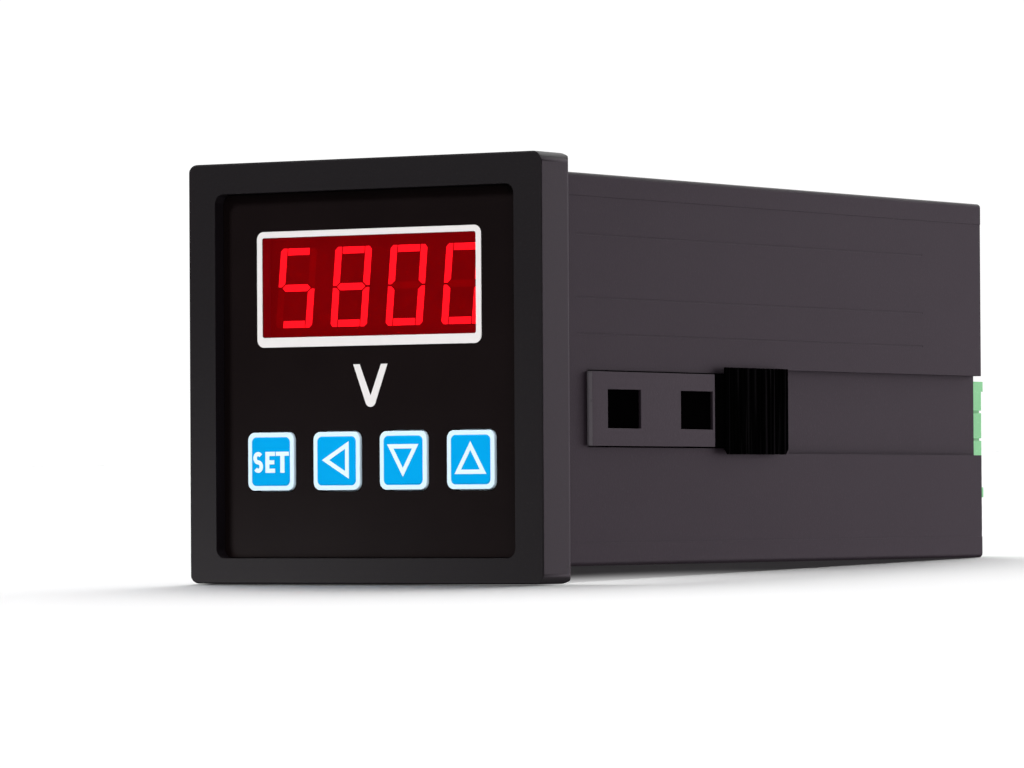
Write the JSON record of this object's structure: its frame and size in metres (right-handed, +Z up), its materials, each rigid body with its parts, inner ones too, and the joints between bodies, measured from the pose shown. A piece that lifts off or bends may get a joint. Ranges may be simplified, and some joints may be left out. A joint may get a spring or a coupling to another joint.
{
  "type": "digital panel meter",
  "caption": "Square panel-mounting digital meter: framed front with red window and keys, long boxed housing, sliding side clips, and plug-in terminals at the rear.",
  "frame": {"origin": "centre of the bezel's rear face, in the middle of the panel cut-out", "axes": "+Y from the front to the rear along the housing, +Z up, +X to the right seen from the front"},
  "size_m": [0.048, 0.1125, 0.048],
  "materials": {
    "bezel_plastic": "fine moulded texture",
    "film_black": "satin printed film",
    "print_white": "screen print",
    "lens_red": "clear red acrylic",
    "key_plastic": "satin, white edge round a blue field",
    "stem_plastic": "moulded",
    "switch_plastic": "moulded",
    "board_green": "solder mask over copper tracks",
    "display_face": "matte",
    "segment_lit": "lit",
    "segment_dark": "unlit",
    "solder": "tinned",
    "housing_plastic": "fine moulded texture",
    "chip_black": "moulded",
    "ferrite": "ground",
    "coil_tape": "polyester tape",
    "capacitor_sleeve": "shrink sleeve",
    "terminal_green": "moulded",
    "pin_metal": "plated",
    "clamp_metal": "nickel plated",
    "clip_plastic": "moulded black",
    "strip_plastic": "fine moulded texture"
  },
  "bodies": {
    "case": {"bezel": "bezel_plastic", "front_film": "film_black", "window_border": "print_white", "red_window": "lens_red", "key_switches": "switch_plastic", "display_board": "board_green", "display_module": "display_face", "lit_segments": "segment_lit", "dark_segments": "segment_dark", "display_pins": "solder", "housing": "housing_plastic", "rear_cover": "housing_plastic", "main_board": "board_green", "power_board": "board_green", "board_links": "chip_black", "main_chips": "chip_black", "transformer_core": "ferrite", "transformer_coil": "coil_tape", "capacitors": "capacitor_sleeve", "signal_header": "terminal_green", "signal_pins": "pin_metal", "supply_header": "terminal_green", "supply_pins": "pin_metal"},
    "set_key": {"key_set": "key_plastic", "stem_set": "stem_plastic"},
    "left_key": {"key_left": "key_plastic", "stem_left": "stem_plastic"},
    "down_key": {"key_down": "key_plastic", "stem_down": "stem_plastic"},
    "up_key": {"key_up": "key_plastic", "stem_up": "stem_plastic"},
    "signal_connector": {"signal_plug": "terminal_green", "signal_clamps": "clamp_metal", "signal_screws": "clamp_metal"},
    "supply_connector": {"supply_plug": "terminal_green", "supply_clamps": "clamp_metal", "supply_screws": "clamp_metal"},
    "right_clip": {"clip_right": "clip_plastic", "strip_right": "strip_plastic"},
    "left_clip": {"clip_left": "clip_plastic", "strip_left": "strip_plastic"}
  },
  "joints": [
    {"name": "set_key_press", "type": "slide", "parent": "case", "child": "set_key", "axis": [0, 1, 0], "range_m": [0, 0.00025], "stiffness_N_per_m": 6000},
    {"name": "left_key_press", "type": "slide", "parent": "case", "child": "left_key", "axis": [0, 1, 0], "range_m": [0, 0.00025], "stiffness_N_per_m": 6000},
    {"name": "down_key_press", "type": "slide", "parent": "case", "child": "down_key", "axis": [0, 1, 0], "range_m": [0, 0.00025], "stiffness_N_per_m": 6000},
    {"name": "up_key_press", "type": "slide", "parent": "case", "child": "up_key", "axis": [0, 1, 0], "range_m": [0, 0.00025], "stiffness_N_per_m": 6000},
    {"name": "signal_plug_pull", "type": "slide", "parent": "case", "child": "signal_connector", "axis": [0, 1, 0], "range_m": [0, 0.009]},
    {"name": "supply_plug_pull", "type": "slide", "parent": "case", "child": "supply_connector", "axis": [0, 1, 0], "range_m": [0, 0.009]},
    {"name": "right_clip_slide", "type": "slide", "parent": "case", "child": "right_clip", "axis": [0, 1, 0], "range_m": [-0.0052, 0.045]},
    {"name": "left_clip_slide", "type": "slide", "parent": "case", "child": "left_clip", "axis": [0, 1, 0], "range_m": [-0.0052, 0.045]}
  ]
}
